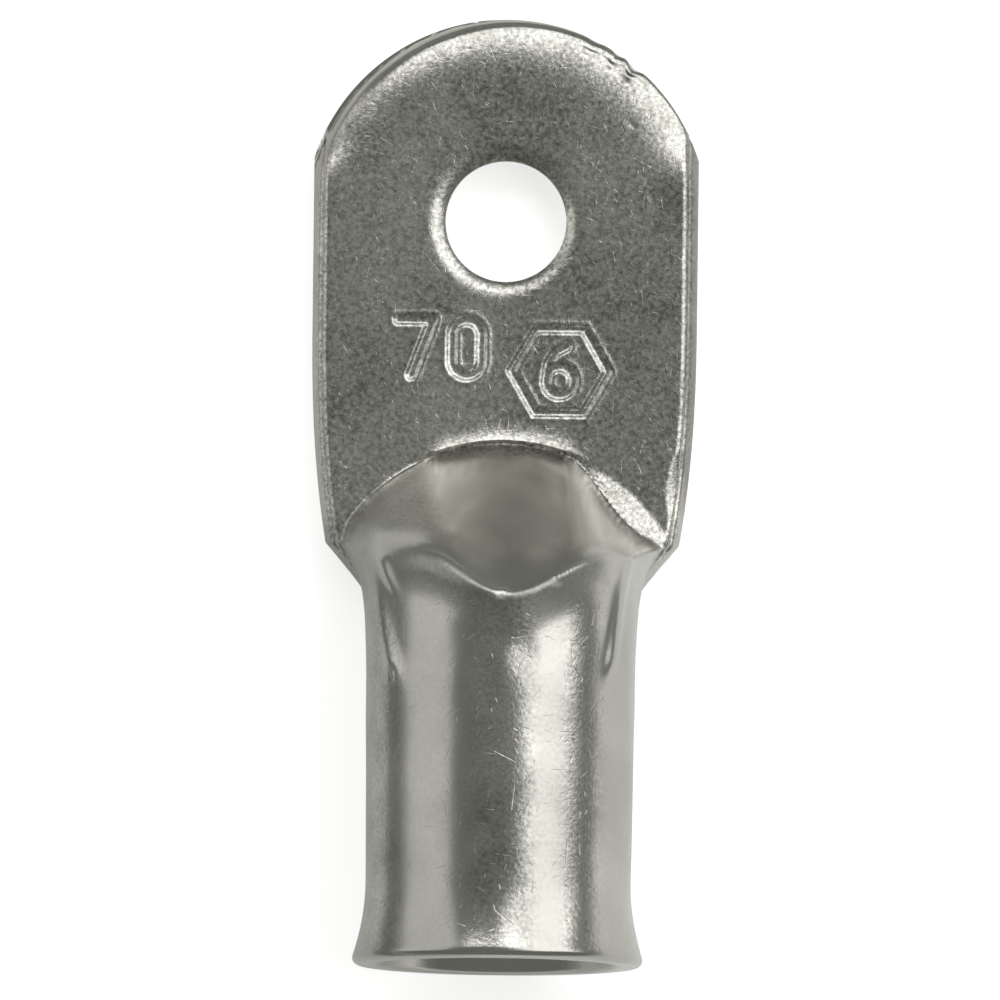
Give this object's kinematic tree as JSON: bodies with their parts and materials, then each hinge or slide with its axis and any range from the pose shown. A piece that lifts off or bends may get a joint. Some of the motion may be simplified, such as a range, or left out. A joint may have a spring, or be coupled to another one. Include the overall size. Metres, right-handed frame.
{
  "type": "cable lug",
  "caption": "Tubular battery cable lug: a round barrel with a belled mouth, pressed flat into a rounded tongue with a stud hole.",
  "frame": {"origin": "centre of the stud hole on the tongue's contact face, the flat back", "axes": "+Z out of the tongue's front along the stud hole, +Y from the hole towards the tongue's round end; the cable barrel opens towards -Y"},
  "size_m": [0.0222, 0.0554, 0.0168],
  "materials": {
    "tin_plate": "satin tin plate over copper, fine speckle and handling scratches"
  },
  "bodies": {
    "root": {"lug_body": "tin_plate"}
  },
  "joints": []
}
